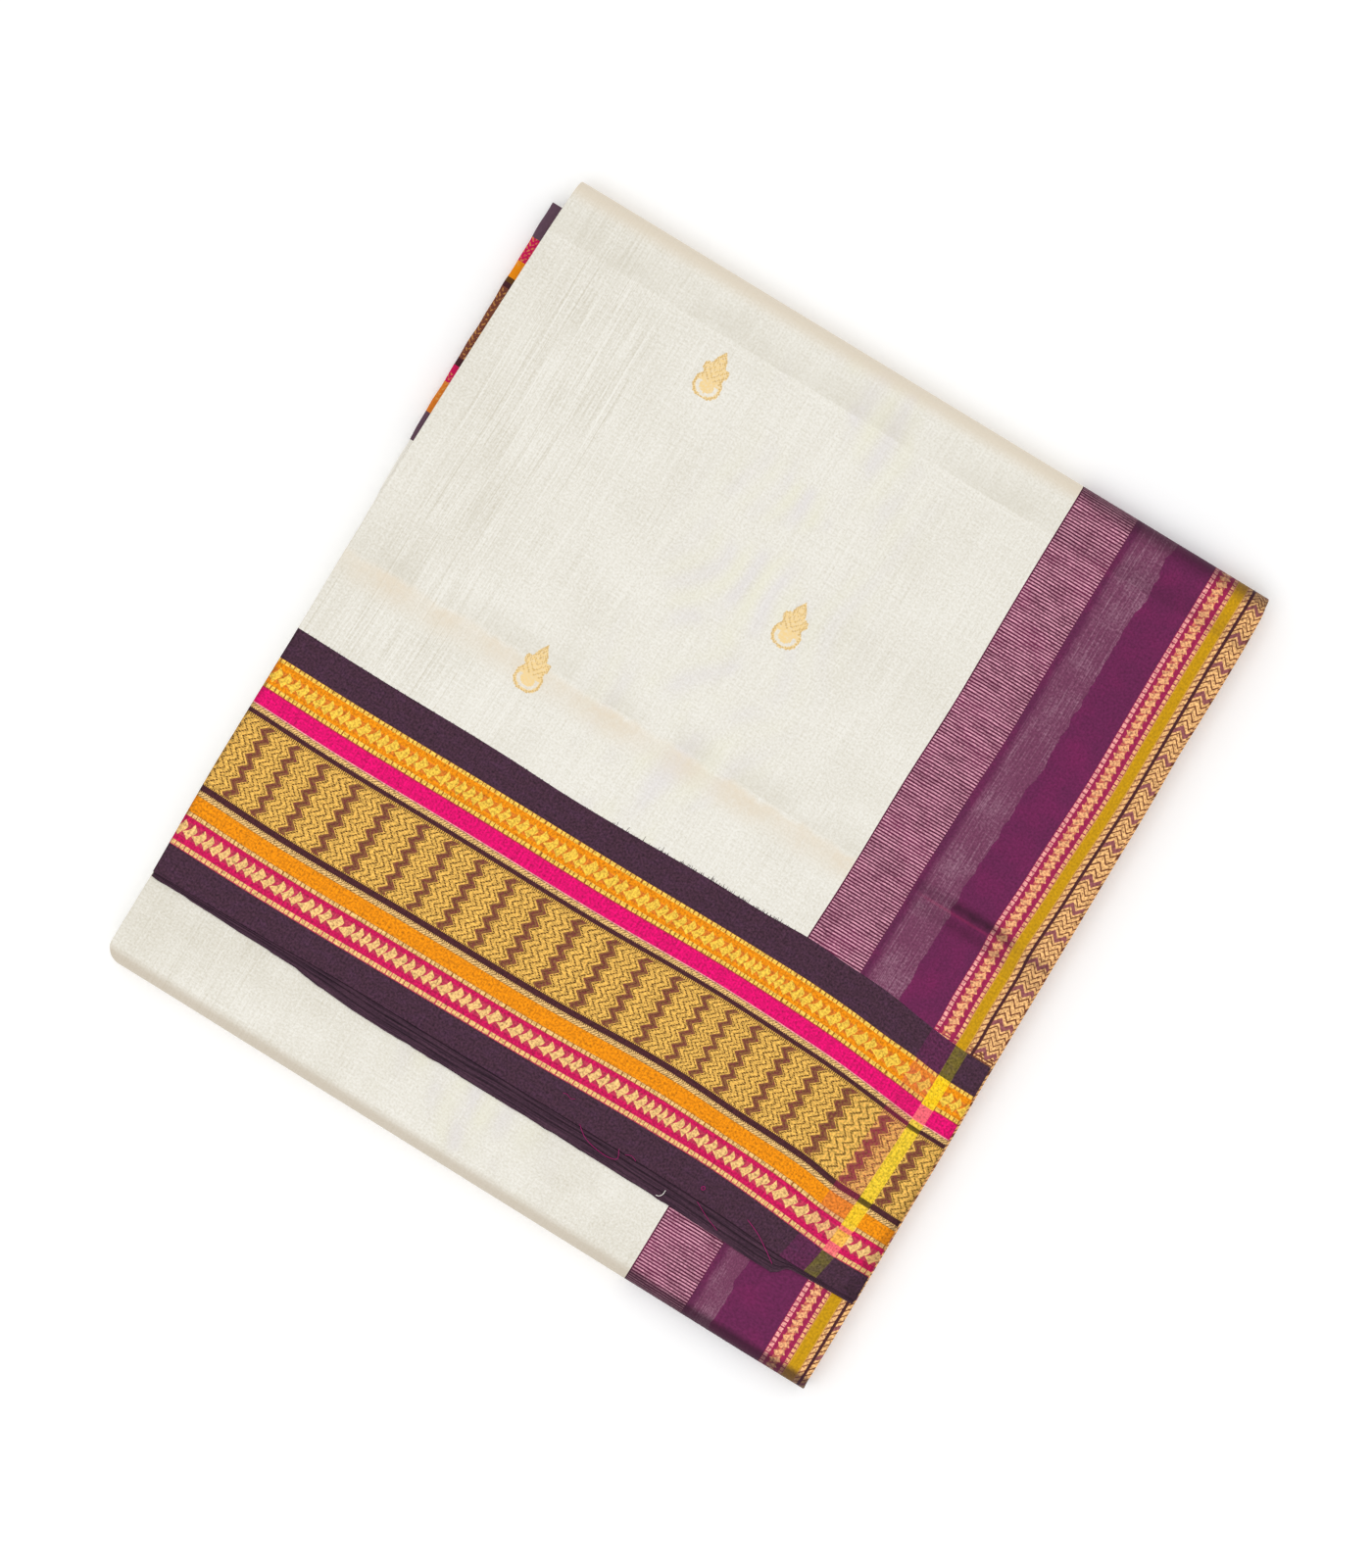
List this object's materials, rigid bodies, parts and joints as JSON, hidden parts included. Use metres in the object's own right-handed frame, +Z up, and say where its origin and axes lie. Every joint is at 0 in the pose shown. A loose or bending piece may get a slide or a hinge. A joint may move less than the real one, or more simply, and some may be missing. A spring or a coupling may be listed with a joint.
{
  "type": "folded saree",
  "caption": "Saree rolled flat into a folded stack: plain field, woven side border and a banded end panel on top.",
  "frame": {"origin": "under the middle of the folded stack, on the surface that it rests on", "axes": "+X along the weft towards the woven border, +Y along the warp towards the far fold, +Z up"},
  "size_m": [0.3562, 0.391, 0.018],
  "materials": {
    "cream_field": "plain weave cotton and silk, soft sheen",
    "woven_border": "plum silk with striped weft, mustard and gold thread bands",
    "end_panel": "aubergine, orange and magenta silk with gold thread bands",
    "aubergine_end": "dark plain weave, rolled cut ends",
    "panel_reverse": "reverse of the banded end, dull gold flecks",
    "inner_leaves": "plain weave cotton and silk, edges of many leaves"
  },
  "bodies": {
    "root": {"top_field": "cream_field", "top_border": "woven_border", "pallu": "end_panel", "pallu_hem": "aubergine_end", "under_field": "cream_field", "under_border": "woven_border", "lower_field": "cream_field", "lower_border": "woven_border", "inner_end": "panel_reverse", "folded_core": "inner_leaves"}
  },
  "joints": []
}
